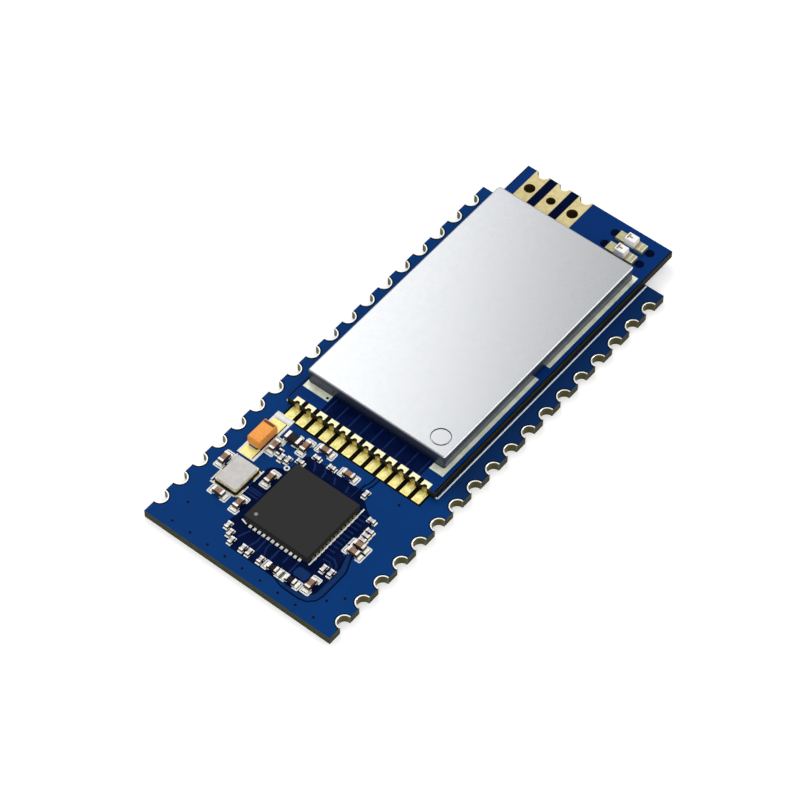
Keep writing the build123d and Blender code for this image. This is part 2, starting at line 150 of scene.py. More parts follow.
def seenByEye(tree):
    # 1 for what the camera sees directly, in a gloss or through glass
    path = addNode(tree, "ShaderNodeLightPath")
    seen = addNode(tree, "ShaderNodeMath", {"operation": "MAXIMUM"}, {
        0: path.outputs["Is Camera Ray"], 1: path.outputs["Is Glossy Ray"],
    })
    return addNode(tree, "ShaderNodeMath", {"operation": "MAXIMUM"}, {
        0: seen, 1: path.outputs["Is Transmission Ray"],
    }).outputs[0]


def makeFloor(values):
    half = values["floorSide"] / 2
    drop = -values["floorDrop"]
    corners = [(-half, -half, drop), (half, -half, drop), (half, half, drop), (-half, half, drop)]
    floor = meshObject("floor", corners, faces=[(0, 1, 2, 3)])
    material, tree, shader = newMaterial("whitePaperFloor", {
        "Base Color": linearColour("#f4f4f4"), "Roughness": 0.9, "Specular IOR Level": 0.1,
    })
    glow = addNode(tree, "ShaderNodeMath", {"operation": "MULTIPLY", 1: values["floorGlow"]}, {
        0: seenByEye(tree),
    })
    tree.links.new(glow.outputs[0], shader.inputs["Emission Strength"])
    shader.inputs["Emission Color"].default_value = (1, 1, 1, 1)
    floor.data.materials.append(material)


def makeSky(values):
    world = bpy.data.worlds.new("sky")
    bpy.context.scene.world = world
    world.use_nodes = True
    tree = world.node_tree
    tree.nodes.clear()
    light = addNode(tree, "ShaderNodeBackground", {"Color": (1, 1, 1, 1)})
    light.inputs["Strength"].default_value = values["skyStrength"]
    white = addNode(tree, "ShaderNodeBackground", {"Color": (1, 1, 1, 1), "Strength": 1.0})
    both = addNode(tree, "ShaderNodeMixShader", {}, {
        0: seenByEye(tree), 1: light, 2: white,
    })
    addNode(tree, "ShaderNodeOutputWorld", {}, {"Surface": both})


def makeSoftBox(name, values, glossOnly=False):
    data = bpy.data.lights.new(name, "AREA")
    data.shape = "SQUARE"
    data.size = values["side"] * mm
    data.energy = values["watts"]
    lamp = bpy.data.objects.new(name, data)
    lamp.location = Vector(values["place"]) * mm
    if "turn" in values:  # hangs level, turned about the upright axis
        lamp.rotation_euler = (0, 0, math.radians(values["turn"]))
    else:
        aim = Vector(values["aim"]) - Vector(values["place"])
        lamp.rotation_euler = aim.to_track_quat("-Z", "Y").to_euler()
    lamp.visible_diffuse = not glossOnly
    bpy.context.scene.collection.objects.link(lamp)


makeFloor(studio)
makeSky(studio)
makeSoftBox("softBox", studio["softBox"])
makeSoftBox("fillLight", studio["fill"])
makeSoftBox("edgeLight", studio["edge"], glossOnly=True)
print("studio lit")


# Materials, each named for the real one, or for the painted shade or highlight that it carries
carrierFinish = {
    "pour": "#073977",  # solder mask over copper
    "darkStrip": "#092b5a",  # the same mask, darker in the strip given below, near and far
    "darkStripFar": "#082b5c",
    "darkStripFrom": (8.0, -7.5),  # the mask is darker right of this x and beyond this y, mm
    "edge": "#383d2a",  # cut glass epoxy
    "edgeWarm": "#4d3d2e",
    "edgePale": "#585f41",
    "edgeDark": 0.9,  # how much light the foot of the edge keeps
    "foot": 0.0,  # height of the board's two faces, mm
    "top": 0.9,
    "weave": 0.45,  # thread spacing of the glass cloth, mm
    "ply": 0.18,  # thickness of one ply, mm
}
radioFinish = {
    "pour": "#063272", "darkStrip": "#063272", "darkStripFar": "#063272", "darkStripFrom": (99.0, 99.0),
    "edge": "#33321c", "edgeWarm": "#3a2f1a", "edgePale": "#4a4a2c", "edgeDark": 0.12,
    "foot": 0.94, "top": 1.74, "weave": 0.45, "ply": 0.18,
}


def axes(tree, kind):
    # X, Y and Z of the place that is shaded, or of the way that it faces
    place = addNode(tree, "ShaderNodeTexCoord")
    return addNode(tree, "ShaderNodeSeparateXYZ", {}, {0: place.outputs[kind]}).outputs


def faceShare(tree, soft=False):
    # 1 on the flat faces and 0 on the upright ones
    upright = addNode(tree, "ShaderNodeMath", {"operation": "ABSOLUTE"}, {
        0: axes(tree, "Normal")["Z"],
    })
    low, high = (0.15, 0.95) if soft else (0.45, 0.55)
    return spread(tree, upright, low, high)


boardTexture = {
    "cloud": 260.0, "tones": (0.9, 1.08),  # noise scale of the mask's tone, and how far it goes
    "fadeX": 0.15, "fadeY": 3, "fadeFar": 22,  # lengths over which the shades change, mm
    "fibre": 1400.0, "fibreFlat": 7.0, "fibreStops": (0.3, 0.5, 0.75),
    "waveLength": 0.314,  # of a wave texture at scale 1
    "sway": 0.4, "relief": 0.12, "depth": 0.02,
}


def makeBoardMaterial(name, values, texture):
    # Epoxy laminate under blue solder mask: the mask is satin and smooth, darker in a strip
    # right of a given x and beyond a given y, and the sawn edge shows the plies of glass cloth
    # as fine brown-green stripes.
    material, tree, shader = newMaterial(name, {"Specular IOR Level": 0.02, "Roughness": 0.42})
    place = addNode(tree, "ShaderNodeTexCoord").outputs["Object"]
    spot = axes(tree, "Object")
    cloud = addNode(tree, "ShaderNodeTexNoise", {"Scale": texture["cloud"], "Detail": 3.0}, {
        "Vector": place,
    })
    maskColour = addNode(tree, "ShaderNodeValToRGB", {}, {0: cloud.outputs["Fac"]})
    for stop, tone in zip(maskColour.color_ramp.elements, texture["tones"]):
        stop.color = [c * tone for c in linearColour(values["pour"])]
    stripFromX, stripFromY = values["darkStripFrom"]
    beyondX = spread(tree, spot["X"], stripFromX * mm, (stripFromX + texture["fadeX"]) * mm)
    beyondY = spread(tree, spot["Y"], stripFromY * mm, (stripFromY + texture["fadeY"]) * mm)
    inDarkStrip = addNode(tree, "ShaderNodeMath", {"operation": "MULTIPLY"}, {0: beyondX, 1: beyondY})
    farther = spread(tree, spot["Y"], 0.0, texture["fadeFar"] * mm)
    darkStrip = mixColours(tree, farther, linearColour(values["darkStrip"]), linearColour(values["darkStripFar"]))
    mask = mixColours(tree, inDarkStrip, maskColour.outputs[0], darkStrip)
    stretch = addNode(tree, "ShaderNodeMapping", {"Scale": (1.0, 1.0, texture["fibreFlat"])}, {
        "Vector": place,
    })
    fibres = addNode(tree, "ShaderNodeTexNoise", {"Scale": texture["fibre"], "Detail": 4.0}, {
        "Vector": stretch,
    })
    edgeColour = addNode(tree, "ShaderNodeValToRGB", {}, {0: fibres.outputs["Fac"]})
    ramp = edgeColour.color_ramp
    warm, middle, pale = texture["fibreStops"]
    ramp.elements[0].position = warm
    ramp.elements[0].color = linearColour(values["edgeWarm"])
    ramp.elements[1].position = pale
    ramp.elements[1].color = linearColour(values["edgePale"])
    ramp.elements.new(middle).color = linearColour(values["edge"])
    rise = spread(tree, spot["Z"], values["foot"] * mm, values["top"] * mm,
                  values["edgeDark"])
    edge = addNode(tree, "ShaderNodeMix", {
        "data_type": "RGBA", "blend_type": "MULTIPLY", 0: 1.0,
    }, {6: edgeColour, 7: rise})
    isFace = faceShare(tree)
    tree.links.new(mixColours(tree, isFace, edge.outputs[2], mask), shader.inputs["Base Color"])
    cloth = addNode(tree, "ShaderNodeTexWave", {
        "wave_type": "BANDS", "bands_direction": "DIAGONAL",
        "Scale": texture["waveLength"] / (values["weave"] * mm), "Distortion": texture["sway"],
    }, {"Vector": place})
    plies = addNode(tree, "ShaderNodeTexWave", {
        "wave_type": "BANDS", "bands_direction": "Z",
        "Scale": texture["waveLength"] / (values["ply"] * mm),
    }, {"Vector": place})
    relief = addNode(tree, "ShaderNodeMix", {"data_type": "FLOAT"}, {
        0: isFace, 2: plies.outputs["Fac"], 3: cloth.outputs["Fac"],
    })
    bump = addNode(tree, "ShaderNodeBump", {
        "Strength": texture["relief"], "Distance": texture["depth"] * mm,
    }, {"Height": relief})
    tree.links.new(bump.outputs[0], shader.inputs["Normal"])
    return material


def grained(name, low, high, grain, values, relief=0.15):
    # A colour that wanders between two near shades at the size of the real grain, in mm,
    # with the same grain as a shallow relief.
    material, tree, shader = newMaterial(name, values)
    place = addNode(tree, "ShaderNodeTexCoord")
    noise = addNode(tree, "ShaderNodeTexNoise", {"Scale": 1 / (grain * mm), "Detail": 3.0}, {
        "Vector": place.outputs["Object"],
    })
    colour = addNode(tree, "ShaderNodeValToRGB", {}, {0: noise.outputs["Fac"]})
    colour.color_ramp.elements[0].position = 0.35
    colour.color_ramp.elements[0].color = linearColour(low)
    colour.color_ramp.elements[1].position = 0.65
    colour.color_ramp.elements[1].color = linearColour(high)
    tree.links.new(colour.outputs[0], shader.inputs["Base Color"])
    bump = addNode(tree, "ShaderNodeBump", {"Strength": relief, "Distance": grain * 0.2 * mm}, {
        "Height": noise.outputs["Fac"],
    })
    tree.links.new(bump.outputs[0], shader.inputs["Normal"])
    return material


def paintedWallShade(name, low, high, wall, grain, values):
    # A finish whose flat faces are bright, while its walls, which face the dark board, carry a
    # painted shade.
    material = grained(name, low, high, grain, values)
    tree = material.node_tree
    shader = tree.nodes["Principled BSDF"]
    top = shader.inputs["Base Color"].links[0].from_socket
    both = mixColours(tree, faceShare(tree), linearColour(wall), top)
    tree.links.new(both, shader.inputs["Base Color"])
    return material


canFinish = {
    "top": ("#9b9d9f", "#9d9ea0"),  # tinned sheet, bright and level
    "foot": "#0b1c38", "head": "#4a4e5e",  # its walls stand in the board's blue shade
    "shadeEnds": (0.3, 0.1),  # that shade fades from above the foot to below the top, mm
    "bendHighlight": "#f6f7f8",  # a painted highlight where the sheet turns down on the right
    "bendRight": (0.15, 0.35), "bendUp": (0.3, 0.5),  # the way that the bend's faces look
    "grain": 0.6, "relief": 0.002, "topMetal": 1.0, "wallMetal": 0.25, "roughness": 0.26,
}


def makeCanMaterial(values):
    # Tinned steel sheet, rolled smooth: the top mirrors the soft box as a soft falling light,
    # the walls carry a painted blue shade of the board that they stand on, and the right bend a
    # painted highlight.
    material = grained("tinnedSteelSheet", *values["top"], values["grain"], {
        "Roughness": values["roughness"],
    }, values["relief"])
    tree = material.node_tree
    shader = tree.nodes["Principled BSDF"]
    top = shader.inputs["Base Color"].links[0].from_socket
    low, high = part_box("shield_can")
    spot = axes(tree, "Object")
    overFoot, underTop = values["shadeEnds"]
    rise = spread(tree, spot["Z"], low[2] + overFoot * mm, high[2] - underTop * mm)
    wall = mixColours(tree, rise, linearColour(values["foot"]), linearColour(values["head"]))
    level = faceShare(tree, soft=True)
    colour = mixColours(tree, level, wall, top)
    facing = axes(tree, "Normal")
    rightward = spread(tree, facing["X"], *values["bendRight"])
    upward = spread(tree, facing["Z"], *values["bendUp"])
    bendHighlight = addNode(tree, "ShaderNodeMath", {"operation": "MULTIPLY"}, {0: rightward, 1: upward})
    withPaintedHighlight = mixColours(tree, bendHighlight, colour, linearColour(values["bendHighlight"]))
    tree.links.new(withPaintedHighlight, shader.inputs["Base Color"])
    metalShare = spread(tree, level, 0.0, 1.0, values["wallMetal"], values["topMetal"])
    sheen = addNode(tree, "ShaderNodeMath", {"operation": "SUBTRACT", "use_clamp": True}, {
        0: metalShare, 1: bendHighlight,
    })
    tree.links.new(sheen.outputs[0], shader.inputs["Metallic"])
    return material


metal = {"Metallic": 1.0, "Roughness": 0.34}
plastic = {"Roughness": 0.55, "Specular IOR Level": 0.25}
mattePlastic = {"Roughness": 0.6, "Specular IOR Level": 0.03}
deepMask = {"Roughness": 0.5, "Specular IOR Level": 0.01}
satinPlate = {"Metallic": 0.2, "Roughness": 0.45, "Specular IOR Level": 0.3}
print("material makers ready")

blueMask = makeBoardMaterial("blueSolderMask", carrierFinish, boardTexture)
radioMask = makeBoardMaterial("radioSolderMask", radioFinish, boardTexture)
# Tin and gold plating: bright on the flat faces, with a painted shade on the walls beside the dark
# board
castellationTin = paintedWallShade(
    "tinnedHalfHoles", "#d8d8ca", "#f6f5e8", "#423d00", 0.5,
    {"Metallic": 0.6, "Roughness": 0.3})
antennaGold = paintedWallShade(
    "satinGold", "#cab980", "#d8ca97", "#4a3c1c", 0.5,
    {"Metallic": 0.2, "Roughness": 0.5, "Specular IOR Level": 0.15})
padGold = paintedWallShade("brightPads", "#f3ecbc", "#fdfbd0", "#2a1c05", 0.4, satinPlate)
landGold = paintedWallShade("goldLands", "#efe08c", "#fbf3a0", "#8a7a3c", 0.5, satinPlate)
# Solder is a warm metal of uneven tone; tinned lands and ends are whiter and more even, with a
# painted shade on their walls
solderBright = grained(
    "reflowedSolder", "#b3a14a", "#d9c973", 0.3,
    {"Metallic": 0.3, "Roughness": 0.3, "Specular IOR Level": 0.4})
tinnedLands = paintedWallShade("tinnedLands", "#f6f4e4", "#fffef4", "#57503a", 0.3, satinPlate)
shieldTin = grained("shieldLandTin", "#dcdfc8", "#f2f7e0", 0.8, satinPlate)
tinnedEnds = paintedWallShade(
    "tinnedEnds", "#c6bebb", "#e6dfdc", "#30261f", 0.2,
    {"Metallic": 0.35, "Roughness": 0.38})
# Moulded, glazed and fired bodies: matte and near black, told apart by their grain
blackEpoxy = grained("mouldedBlackEpoxy", "#2f2f2f", "#353535", 0.05, mattePlastic, 0.3)
blackGlaze = grained("blackResistorGlaze", "#1c1a1f", "#2b2829", 0.2, mattePlastic)
darkFerrite = grained("firedFerrite", "#222222", "#303030", 0.1, mattePlastic)
darkCeramic = grained("darkCeramicTray", "#14110c", "#231f17", 0.2, mattePlastic)
# The crystal: a satin nickel lid on a gold seal, and clear quartz inside
nickelLid = grained(
    "nickelPlatedLid", "#bdbab7", "#cac7c5", 0.8,
    {"Metallic": 0.15, "Roughness": 0.5, "Specular IOR Level": 0.1})
sealGold = grained("goldSealRing", "#b5aa80", "#e6ddb4", 0.3, {"Metallic": 0.3, "Roughness": 0.35})
quartzGlass = newMaterial("quartz", {"Roughness": 0.05, "Transmission Weight": 0.8})[0]
# An even orange moulding, and fired ceramic with a painted shade on its sides, darker than its top
orangeEpoxy = grained("mouldedOrangeEpoxy", "#f79e44", "#feaa50", 0.25, plastic)
bandBrown = grained("polarityBandInk", "#6b4524", "#7f5530", 0.15, mattePlastic)
brownCeramic = paintedWallShade("firedBrownCeramic", "#8c6a52", "#a98a72", "#4a3629", 0.35, mattePlastic)
paleCeramic = paintedWallShade("firedPaleCeramic", "#b4b2b2", "#e4e3e3", "#3a3634", 0.4, plastic)
# Steel sheet: smooth and level, with a painted shade on the floor of the pressed ring
tinnedSteel = makeCanMaterial(canFinish)
ringFloorShade = grained("ringFloorShade", "#4a4d51", "#5c5f63", 0.4, metal, 0.02)
# Lamps and inks: white laminate, milky resin and printed ink, all with little gloss
# the white laminate also paints the highlights on the lamps' terminals
whiteLaminateAndHighlight = grained("whiteLaminateAndHighlight", "#e6e4dc", "#f4f2ea", 0.3, plastic)
# the lamps' terminal plate carries a painted shade on its walls
lampGold = paintedWallShade("lampTerminalPlate", "#a8a57c", "#bcb98f", "#8a8762", 0.3, satinPlate)
lampResin = grained("diffusingResin", "#fbfaf8", "#ffffff", 0.4, plastic)
whiteInk = grained("whiteBoardInk", "#eef2ef", "#fcfefb", 0.15, plastic)
lampInk = grained("lampMarkInk", "#9c846c", "#b39b83", 0.15, mattePlastic)
greyInk = grained("greyBoardInk", "#7f7f7f", "#8f8f8f", 0.15, plastic)
# Solder mask over other grounds: dark blue over tracks, near black over bare laminate
trackMask = grained("maskOverTrack", "#162b5f", "#1d3264", 0.6, deepMask)
bandMask = grained("maskOverWideTrack", "#133163", "#19376a", 0.6, deepMask)
clearMask = grained("maskOverLaminate", "#020e35", "#06153e", 1.2, deepMask)
gapMask = grained("maskBetweenPads", "#0c0b08", "#171207", 0.5, deepMask)
nightMask = grained("maskOverDeepGap", "#020824", "#040f32", 0.8, deepMask)
# Dark places: a dark disc low in each antenna hole, and solder right of the chip with a painted
# shade
holeDark = grained("darkHoleDisc", "#2e2618", "#40361f", 0.3, mattePlastic)
shadedSolder = grained("shadedSolder", "#5c5734", "#7a7444", 0.2, mattePlastic)

finishes = {
    blueMask: ["carrier_board"],
    radioMask: ["radio_board"],
    castellationTin: ["carrier_half_holes_left", "carrier_half_holes_right"],
    antennaGold: ["antenna_pads"],
    padGold: ["radio_half_holes"],
    landGold: ["radio_lands", "tantalum_lands", "crystal_lands"],
    solderBright: ["solder_fillets"],
    tinnedLands: ["microcontroller_lands", "chip_lands"],
    shieldTin: ["shield_lands"],
    tinnedEnds: [
        "capacitor_end_caps", "small_capacitor_end_caps", "resistor_end_caps",
        "ferrite_bead_end_caps", "tantalum_straps", "microcontroller_terminals",
        "microcontroller_thermal_pad", "transceiver_terminals", "transceiver_thermal_pad",
        "amplifier_terminals", "balun_terminals", "power_inductor_terminals",
        "inner_capacitor_end_caps",
    ],
    blackEpoxy: ["microcontroller_body", "transceiver_body", "amplifier_body"],
    blackGlaze: ["resistor_bodies"],
    darkFerrite: ["ferrite_bead_bodies", "power_inductor_body"],
    darkCeramic: ["crystal_base", "oscillator_base"],
    nickelLid: ["crystal_lid", "oscillator_lid"],
    sealGold: ["crystal_seal_ring", "crystal_terminals"],
    quartzGlass: ["quartz_blank"],
    orangeEpoxy: ["tantalum_body"],
    brownCeramic: ["capacitor_bodies", "inner_capacitor_bodies"],
    paleCeramic: ["small_capacitor_bodies", "balun_body"],
    tinnedSteel: ["shield_can"],
    whiteLaminateAndHighlight: ["lamp_bases"],
    lampGold: ["lamp_terminals"],
    lampResin: ["lamp_lenses"],
}
for material, names in finishes.items():
    for name in names:
        nodes[name].data.materials.clear()
        nodes[name].data.materials.append(material)
print("materials on", sum(len(names) for names in finishes.values()), "nodes")


# Growing thin pieces: a seed mesh of points and edges, and a tree of nodes that gives it body
def newTree(name, sizes):
    tree = bpy.data.node_groups.new(name, "GeometryNodeTree")
    tree.interface.new_socket("Geometry", in_out="INPUT", socket_type="NodeSocketGeometry")
    for label, kind in sizes.items():
        tree.interface.new_socket(label, in_out="INPUT", socket_type="NodeSocket" + kind)
    tree.interface.new_socket("Geometry", in_out="OUTPUT", socket_type="NodeSocketGeometry")
    return tree, addNode(tree, "NodeGroupInput")


def closeTree(tree, shape, seed):
    real = addNode(tree, "GeometryNodeRealizeInstances", {}, {0: shape})
    painted = addNode(tree, "GeometryNodeSetMaterial", {}, {
        0: real, "Material": seed.outputs["Finish"],
    })
    addNode(tree, "NodeGroupOutput", {}, {0: painted})
    return tree


def roundedLines(tree, seed):
    # The seed's lines as curves with rounded corners
    route = addNode(tree, "GeometryNodeMeshToCurve", {}, {0: seed.outputs["Geometry"]})
    return addNode(tree, "GeometryNodeFilletCurve", {
        "mode": "POLY", "Count": 3, "Limit Radius": True,
    }, {0: route, "Radius": seed.outputs["Corner"]})


def liftShape(tree, shape, seed):
    up = addNode(tree, "ShaderNodeCombineXYZ", {}, {"Z": seed.outputs["Lift"]})
    return addNode(tree, "GeometryNodeSetPosition", {}, {0: shape, "Offset": up})


def makeLineTree():
    # A flat bar along every line of the seed
    tree, seed = newTree("lines", {
        "Width": "Float", "Thick": "Float", "Lift": "Float", "Corner": "Float",
        "Finish": "Material",
    })
    level = addNode(tree, "GeometryNodeSetCurveNormal", {"mode": "Z_UP"}, {
        0: roundedLines(tree, seed),
    })
    section = addNode(tree, "GeometryNodeCurvePrimitiveQuadrilateral", {}, {
        "Width": seed.outputs["Width"], "Height": seed.outputs["Thick"],
    })
    bar = addNode(tree, "GeometryNodeCurveToMesh", {"Fill Caps": True}, {
        "Curve": level, "Profile Curve": section,
    })
    return closeTree(tree, liftShape(tree, bar, seed), seed)


def makePatchTree():
    # A thin plate inside every closed line of the seed
    tree, seed = newTree("patches", {
        "Thick": "Float", "Lift": "Float", "Corner": "Float", "Finish": "Material",
    })
    filled = addNode(tree, "GeometryNodeFillCurve", {"mode": "NGONS"}, {
        0: roundedLines(tree, seed),
    })
    thick = addNode(tree, "ShaderNodeCombineXYZ", {}, {"Z": seed.outputs["Thick"]})
    raised = addNode(tree, "GeometryNodeExtrudeMesh", {"Offset Scale": 1.0, "Individual": False}, {
        0: filled, "Offset": thick,
    })
    under = addNode(tree, "GeometryNodeFlipFaces", {}, {0: filled})
    both = addNode(tree, "GeometryNodeJoinGeometry", {}, {0: raised})
    tree.links.new(under.outputs[0], both.inputs[0])
    sealed = addNode(tree, "GeometryNodeMergeByDistance", {"Distance": 0.001 * mm}, {0: both})
    return closeTree(tree, liftShape(tree, sealed, seed), seed)


def makeScatterTree():
    # One small shape at every point of the seed, turned and sized by the point's own values
    tree, seed = newTree("scatter", {"Shape": "Object", "Finish": "Material"})
    shape = addNode(tree, "GeometryNodeObjectInfo", {}, {0: seed.outputs["Shape"]})
    turn = addNode(tree, "GeometryNodeInputNamedAttribute", {"Name": "turn"})
    span = addNode(tree, "GeometryNodeInputNamedAttribute", {
        "data_type": "FLOAT_VECTOR", "Name": "span",
    })
    angles = addNode(tree, "ShaderNodeCombineXYZ", {}, {"Z": turn})
    rotation = addNode(tree, "FunctionNodeEulerToRotation", {}, {0: angles})
    copies = addNode(tree, "GeometryNodeInstanceOnPoints", {}, {
        0: seed.outputs["Geometry"], "Instance": shape.outputs["Geometry"],
        "Rotation": rotation, "Scale": span,
    })
    return closeTree(tree, copies.outputs[0], seed)


lineTree = makeLineTree()
patchTree = makePatchTree()
scatterTree = makeScatterTree()


def growPiece(seed, tree, settings):
    modifier = seed.modifiers.new("grow", "NODES")
    modifier.node_group = tree
    for item in tree.interface.items_tree:
        if item.item_type == "SOCKET" and item.in_out == "INPUT" and item.name in settings:
            modifier[item.identifier] = settings[item.name]
    bpy.context.view_layer.update()
    grown = bpy.data.meshes.new_from_object(
        seed.evaluated_get(bpy.context.evaluated_depsgraph_get()))
    seed.modifiers.clear()
    seed.data = grown
    shell = bmesh.new()
    shell.from_mesh(grown)
    bmesh.ops.recalc_face_normals(shell, faces=shell.faces)
    shell.to_mesh(grown)
    shell.free()
    return finishPiece(seed)


def inMm(box):
    return [[value / mm for value in corner] for corner in box]


carrierTop = inMm(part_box("carrier_board"))[1][2]
radioTop = inMm(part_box("radio_board"))[1][2]
sunk = 0.02  # how far every thin layer reaches into the board under it, mm


def seedLines(name, lines, closed=False):
    # Points and edges of flat lines, or of outlines where they are closed
    edges, start = [], 0
    for line in lines:
        count = len(line)
        steps = count if closed else count - 1
        edges += [(start + i, start + (i + 1) % count) for i in range(steps)]
        start += count
    return meshObject(name, [(x, y, 0) for line in lines for x, y in line], edges)


def drawLines(name, lines, width, rise, base, material,
              corner=0.06):
    thick = rise + sunk
    return growPiece(seedLines(name, lines), lineTree, {
        "Width": width * mm, "Thick": thick * mm, "Lift": (base + rise - thick / 2) * mm,
        "Corner": corner * mm, "Finish": material,
    })


def drawPatches(name, outlines, rise, base, material,
                corner=0.02):
    return growPiece(seedLines(name, outlines, closed=True), patchTree, {
        "Thick": (rise + sunk) * mm, "Lift": (base - sunk) * mm,
        "Corner": corner * mm, "Finish": material,
    })


def scatterShapes(name, shape, spots, material):
    # Each spot: place, turn about Z in radians, and size along the shape's own X, Y and Z, mm
    seed = meshObject(name, [place for place, turn, size in spots])
    turns = seed.data.attributes.new("turn", "FLOAT", "POINT")
    spans = seed.data.attributes.new("span", "FLOAT_VECTOR", "POINT")
    for index, (place, turn, size) in enumerate(spots):
        turns.data[index].value = turn
        spans.data[index].vector = size
    return growPiece(seed, scatterTree, {"Shape": shape, "Finish": material})


def prism(name, outline, high):
    # Closed unit shape: an outline in X and Z, carried along Y from -high/2 to high/2
    count = len(outline)
    points = [(x, -high / 2, z) for x, z in outline] + [(x, high / 2, z) for x, z in outline]
    faces = [tuple(range(count)), tuple(reversed(range(count, 2 * count)))]
    for i in range(count):
        j = (i + 1) % count
        faces.append((i, count + i, count + j, j))
    return meshObject(name, points, faces=faces)


def roundShape(name, sides, rings):
    # Closed unit shape turned about Z, from rings of (radius, height) with a flat foot and top
    points = []
    for radius, height in rings:
        for i in range(sides):
            angle = 2 * math.pi * i / sides
            points.append((radius * math.cos(angle), radius * math.sin(angle), height))
    faces = [tuple(reversed(range(sides)))]
    for ring in range(len(rings) - 1):
        for i in range(sides):
            j = (i + 1) % sides
            low, high = ring * sides, (ring + 1) * sides
            faces.append((low + i, low + j, high + j, high + i))
    faces.append(tuple(range((len(rings) - 1) * sides, len(rings) * sides)))
    return meshObject(name, points, faces=faces)


# Unit shapes for the scatter tree; they are taken away again before the end
wedge = prism("wedge", [(0, 0), (1, 0), (0.5, 0.12), (0.2, 0.4), (0, 1)], 1)
disc = roundShape("disc", 16, [(1, 0), (1, 1)])
dome = roundShape("dome", 16, [(1, 0), (0.92, 0.45), (0.7, 0.8), (0.35, 1)])
block = prism("block", [(-0.5, 0), (0.5, 0), (0.5, 1), (-0.5, 1)], 1)


def solidBoxes(nodeName):
    # The lowest and highest corner, in mm, of each separate solid of a node
    shell = bmesh.new()
    shell.from_mesh(nodes[nodeName].data)
    bmesh.ops.remove_doubles(shell, verts=shell.verts, dist=0.0005 * mm)
    unseen = set(shell.verts)
    boxes = []
    while unseen:
        group = [unseen.pop()]
        corners = []
        while group:
            vert = group.pop()
            corners.append(vert.co / mm)
            for edge in vert.link_edges:
                other = edge.other_vert(vert)
                if other in unseen:
                    unseen.discard(other)
                    group.append(other)
        low = [min(c[i] for c in corners) for i in range(3)]
        high = [max(c[i] for c in corners) for i in range(3)]
        boxes.append((low, high))
    shell.free()
    return sorted(boxes)


print("grower ready")


# Copper under the mask: areas without copper are darker, and tracks stand out in them
copperPlan = {
    "clearRise": 0.006, "gapRise": 0.009, "trackRise": 0.014, "trackWidth": 0.17,
    "bandWidth": 0.45, "darkWidth": 0.13, "darkRise": 0.02, "viaRadius": 0.12,
    "islandRise": 0.011, "clearCorner": 0.7, "islandCorner": 0.3, "trackCorner": 0.2,
    # no copper round the microcontroller
    "clearing": [
        (-3.3, -10.2), (3.0, -10.2), (3.7, -10.9), (4.6, -11.6), (5.8, -12.2), (6.0, -13.0),
        (5.6, -14.4), (5.5, -16.2), (6.2, -16.6), (6.6, -17.6), (6.6, -20.9), (6.2, -21.7),
        (3.0, -21.9), (-2.2, -21.9), (-3.0, -21.3), (-4.1, -19.8), (-3.95, -19.1),
        (-5.0, -17.0), (-5.0, -13.3), (-3.5, -12.5),
    ],
    # copper islands inside that area
    "islands": [
        [(3.7, -20.6), (5.1, -20.6), (5.1, -19.6), (3.7, -19.6)],
    ],
    # between the lands of the radio board
    "gap": [(-7.8, -8.45), (7.8, -8.45), (7.8, -6.9), (-7.8, -6.9)],
    "nearTracks": [
        [(-1.85, -19.4), (-2.3, -20.6)], [(-0.75, -19.4), (-0.72, -20), (-0.95, -20.8)],
        [(-0.2, -19.4), (-0.15, -20.8)], [(0.35, -19.4), (0.35, -20), (0.7, -20.7)],
        [(1.35, -19.4), (1.35, -20.7)], [(2.4, -19.4), (2.4, -20.3)],
        [(3.4, -19.4), (3.45, -20.7)],
    ],
    "farTracks": [
        [(-2.3, -10.4), (-1.9, -10.8), (-1.7, -11.3)],
        [(-1.1, -10.3), (-0.8, -10.8), (-0.7, -11.4)],
        [(0.2, -10.6), (0.6, -11.3)], [(1.7, -10.6), (1.9, -11.3)], [(2.6, -9.5), (2.6, -11.3)],
    ],
    "sideTracks": [
        [(4.7, -17.3), (5.6, -17.25), (6.1, -17.6), (6.3, -17.9)],
        [(4.8, -17.8), (5.5, -17.75), (5.95, -18.1), (6.1, -18.5)],
        [(-4.9, -16.0), (-3.5, -16.0)], [(-4.9, -16.25), (-3.5, -16.25)],
        [(-4.9, -16.6), (-3.5, -16.6)],
    ],
    "rowX": (4.5, 5.2), "rowY": -12.2, "rowPitch": 0.5, "rowCount": 10,
    # the wide track round the near right corner, and the dark lines along both its sides
    "band": [(3.6, -21.93), (6.9, -21.93), (6.9, -17.8), (6.3, -16.1)],
    "bandOuter": [(1.6, -21.5), (3.9, -22.2), (7.25, -22.2), (7.25, -17.7), (6.5, -15.9)],
    "bandInner": [(4.0, -21.68), (6.55, -21.68), (6.55, -17.9), (6.1, -16.3)],
    "bandCorner": 1.5,
    "pair": [[(2.95, -8.4), (2.9, -9.3), (2.7, -9.8), (2.65, -11.3)],
             [(3.35, -8.4), (3.3, -9.4), (3.1, -9.9), (3.05, -11.3)]],
    "vias": [
        (-8.01, -20.57), (-7.77, -22.85), (-5.78, -22.85), (-3.79, -22.85), (-1.86, -22.85),
        (0.1, -22.85), (2.07, -22.85), (4.04, -22.85), (5.97, -22.85), (7.95, -22.85),
        (7.76, -20.87), (8.83, -19.75), (6.31, -9.42),
    ],
}


